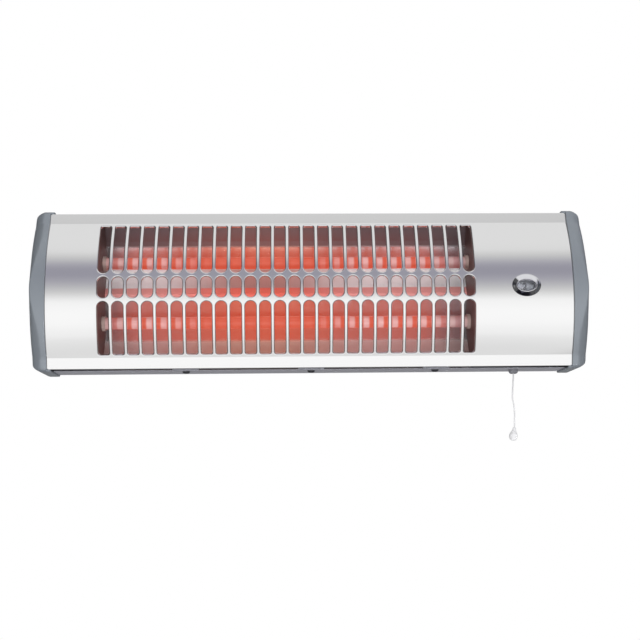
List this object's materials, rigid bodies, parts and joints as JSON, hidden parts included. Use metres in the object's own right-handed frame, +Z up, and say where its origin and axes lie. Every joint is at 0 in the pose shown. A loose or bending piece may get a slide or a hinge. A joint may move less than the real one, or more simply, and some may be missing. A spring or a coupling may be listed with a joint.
{
  "type": "wall-mounted quartz bar heater",
  "caption": "Slim wall heater: slotted bow front over two quartz tubes, domed end caps, pull-cord switch with sight window, tilting wall bracket.",
  "frame": {"origin": "on the wall plane, midway between the two wall-screw holes of the bracket", "axes": "+X along the heater to its switch end, +Y into the wall, +Z up; the slotted front faces -Y"},
  "size_m": [0.5046, 0.092, 0.2125],
  "materials": {
    "bracket_steel": "zinc-plated steel",
    "zinc": "bright zinc-plated steel",
    "casing_paint": "satin grey paint on steel",
    "cover_steel": "polished stainless steel",
    "cap_plastic": "satin blue-grey moulded plastic",
    "reflector_steel": "mirror-finished steel sheet",
    "plate_steel": "heat-darkened steel",
    "quartz": "milky fused quartz",
    "glowing_wire": "resistance wire at orange heat",
    "ceramic": "white unglazed ceramic",
    "brass": "plain brass",
    "switch_plastic": "dark moulded plastic",
    "rotor_plastic": "ivory moulded plastic",
    "disc_plastic": "white printed plastic",
    "spring_steel": "plain spring steel",
    "cord_white": "white braided cord",
    "toggle_plastic": "white moulded plastic",
    "guide_plastic": "dark grey moulded plastic",
    "bezel_chrome": "chrome-plated plastic",
    "lens_smoke": "smoke-tinted clear plastic",
    "block_plastic": "ivory moulded plastic",
    "cutout_black": "black phenolic",
    "washer_plastic": "natural nylon",
    "grommet_rubber": "black rubber",
    "lead_brown": "brown silicone sleeve",
    "lead_red": "red silicone sleeve",
    "lead_orange": "orange silicone sleeve",
    "lead_blue": "blue silicone sleeve",
    "lead_green": "green-yellow silicone sleeve"
  },
  "bodies": {
    "wall_side": {"wall_bracket": "bracket_steel", "pivot_screws": "zinc", "pivot_nuts": "zinc", "tilt_washers": "washer_plastic"},
    "heater": {"hinge_ears": "bracket_steel", "ear_rivets": "zinc", "back_casing": "casing_paint", "front_cover": "cover_steel", "left_end_cap": "cap_plastic", "right_end_cap": "cap_plastic", "cap_screws": "zinc", "cover_screws": "zinc", "reflector": "reflector_steel", "left_end_plate": "plate_steel", "right_end_plate": "plate_steel", "plate_screws": "zinc", "upper_quartz_tube": "quartz", "lower_quartz_tube": "quartz", "upper_heating_coil": "glowing_wire", "lower_heating_coil": "glowing_wire", "ceramic_tube_ends": "ceramic", "tube_terminals": "brass", "switch_body": "switch_plastic", "switch_screws": "zinc", "switch_terminals": "brass", "cord_guide": "guide_plastic", "window_bezel": "bezel_chrome", "window_lens": "lens_smoke", "terminal_block": "block_plastic", "terminal_screws": "brass", "thermal_cutout": "cutout_black", "cutout_rivets": "zinc", "supply_grommet": "grommet_rubber", "earth_screw": "brass", "earth_tag": "zinc", "live_lead": "lead_brown", "cutout_lead": "lead_red", "upper_tube_lead": "lead_orange", "lower_tube_lead": "lead_orange", "neutral_lead": "lead_blue", "tube_link_lead": "lead_blue", "earth_lead": "lead_green"},
    "rotor": {"switch_rotor": "rotor_plastic", "indicator_disc": "disc_plastic"},
    "pull": {"pull_slide": "rotor_plastic", "return_spring": "spring_steel", "pull_cord": "cord_white", "pull_toggle": "toggle_plastic"}
  },
  "joints": [
    {"name": "tilt", "type": "hinge", "parent": "wall_side", "child": "heater", "pos_m": [0, -0.014, 0], "axis": [1, 0, 0], "range_deg": [0, 15]},
    {"name": "switch_turn", "type": "hinge", "parent": "heater", "child": "rotor", "pos_m": [0.193, -0.06, -0.012], "axis": [0, 1, 0], "continuous": true},
    {"name": "cord_pull", "type": "slide", "parent": "heater", "child": "pull", "axis": [0, 0, -1], "range_m": [0, 0.01], "stiffness_N_per_m": 600, "springref_m": -0.004, "deforming": ["return_spring"]}
  ]
}
